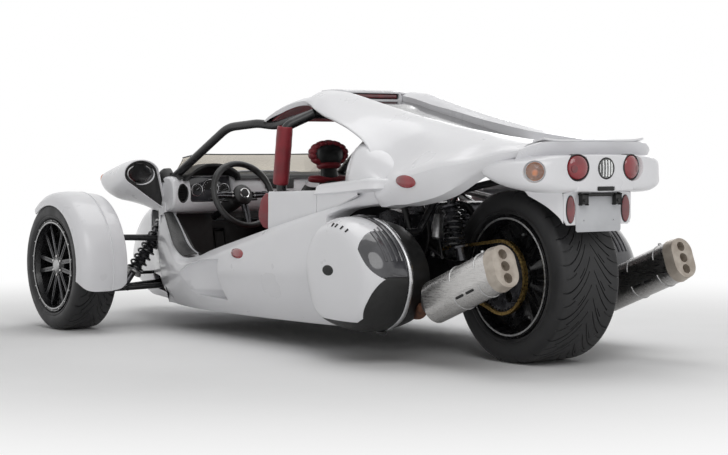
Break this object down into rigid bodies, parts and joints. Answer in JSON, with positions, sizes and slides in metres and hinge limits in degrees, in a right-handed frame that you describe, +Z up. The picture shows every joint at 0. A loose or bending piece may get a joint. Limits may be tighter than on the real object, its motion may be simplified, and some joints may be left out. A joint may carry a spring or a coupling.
{
  "type": "three-wheeled two-seat road car",
  "caption": "White open-sided two-seat three-wheeled car with steered front wheels under cycle fenders, one wide rear wheel and hinged side cases.",
  "frame": {"origin": "on the ground below the middle of the car's length and width", "axes": "+X forward, +Y to the driver's left, +Z up"},
  "size_m": [3.4973, 1.979, 1.089],
  "materials": {
    "white_paint": "gloss",
    "black_tube": "satin",
    "rim_dark": "satin",
    "black_plastic": "matt",
    "tyre_rubber": "matt",
    "disc_steel": "satin",
    "chain_brass": "satin",
    "spring_silver": "satin",
    "brushed_steel": "satin",
    "cap_beige": "satin",
    "rusty_steel": "satin",
    "red_leather": "satin",
    "wheel_leather": "satin",
    "red_lens": "gloss",
    "clear_lens": "gloss",
    "plate_grey": "satin",
    "screen_glass": "gloss",
    "mirror_silver": "gloss"
  },
  "bodies": {
    "chassis": {"case_shells": "black_plastic", "chain": "chain_brass", "clear_lamps": "clear_lens", "cockpit_tub": "black_plastic", "dashboard": "white_paint", "engine_block": "black_tube", "engine_deck": "black_plastic", "exhaust_caps": "cap_beige", "exhausts": "brushed_steel", "front_dampers": "spring_silver", "head_restraints": "red_leather", "header_pipes": "rusty_steel", "mirror_glasses": "mirror_silver", "mirror_pods": "white_paint", "nose_cowl": "white_paint", "number_plate": "plate_grey", "pedals": "black_tube", "pillar_pads": "red_leather", "plate_flap": "white_paint", "rear_cowls": "white_paint", "rear_damper": "spring_silver", "red_lamps": "red_lens", "roof_panel": "white_paint", "seats": "red_leather", "side_panels": "white_paint", "side_pods": "white_paint", "space_frame": "black_tube", "steering_column": "black_tube", "swingarm": "black_tube", "tail_section": "white_paint", "windscreen": "screen_glass", "wishbones": "black_tube"},
    "front_left_upright": {"front_left_knuckle": "black_tube", "front_left_fender": "white_paint"},
    "front_left_wheel": {"front_left_tyre": "tyre_rubber", "front_left_rim": "rim_dark", "front_left_disc": "disc_steel"},
    "front_right_upright": {"front_right_knuckle": "black_tube", "front_right_fender": "white_paint"},
    "front_right_wheel": {"front_right_tyre": "tyre_rubber", "front_right_rim": "rim_dark", "front_right_disc": "disc_steel"},
    "rear_wheel": {"rear_tyre": "tyre_rubber", "rear_rim": "black_tube", "rear_sprocket": "disc_steel"},
    "steering_rack": {"steering_rack": "black_tube"},
    "steering_wheel": {"steering_wheel": "wheel_leather"},
    "left_case_lid": {"left_case_lid": "white_paint"},
    "right_case_lid": {"right_case_lid": "white_paint"}
  },
  "joints": [
    {"name": "steer_left", "type": "hinge", "parent": "chassis", "child": "front_left_upright", "pos_m": [0.956, 0.8, 0.2955], "axis": [0, 0, 1], "range_deg": [-30, 30]},
    {"name": "steer_right", "type": "hinge", "parent": "chassis", "child": "front_right_upright", "pos_m": [0.956, -0.8, 0.2955], "axis": [0, 0, 1], "range_deg": [-30, 30]},
    {"name": "rack_slide", "type": "slide", "parent": "chassis", "child": "steering_rack", "axis": [0, 1, 0], "range_m": [-0.064, 0.064]},
    {"name": "wheel_turn", "type": "hinge", "parent": "chassis", "child": "steering_wheel", "pos_m": [0.482, 0.235, 0.62], "axis": [0.9272, 0, -0.3746], "range_deg": [-240.5, 240.5]},
    {"name": "front_left_spin", "type": "hinge", "parent": "front_left_upright", "child": "front_left_wheel", "pos_m": [0.956, 0.882, 0.2955], "axis": [0, 1, 0], "continuous": true},
    {"name": "front_right_spin", "type": "hinge", "parent": "front_right_upright", "child": "front_right_wheel", "pos_m": [0.956, -0.882, 0.2955], "axis": [0, 1, 0], "continuous": true},
    {"name": "rear_spin", "type": "hinge", "parent": "chassis", "child": "rear_wheel", "pos_m": [-1.33, 0, 0.332], "axis": [0, 1, 0], "continuous": true},
    {"name": "left_lid", "type": "hinge", "parent": "chassis", "child": "left_case_lid", "pos_m": [-0.95, 0.52, 0.1185], "axis": [-1, 0, 0], "range_deg": [0, 45]},
    {"name": "right_lid", "type": "hinge", "parent": "chassis", "child": "right_case_lid", "pos_m": [-0.95, -0.52, 0.1185], "axis": [1, 0, 0], "range_deg": [0, 45]}
  ],
  "couplings": [
    {"joint": "steer_right", "follows": "steer_left", "ratio": 1},
    {"joint": "rack_slide", "follows": "steer_left", "m_per_rad": 0.122},
    {"joint": "wheel_turn", "follows": "steer_left", "ratio": -8}
  ]
}
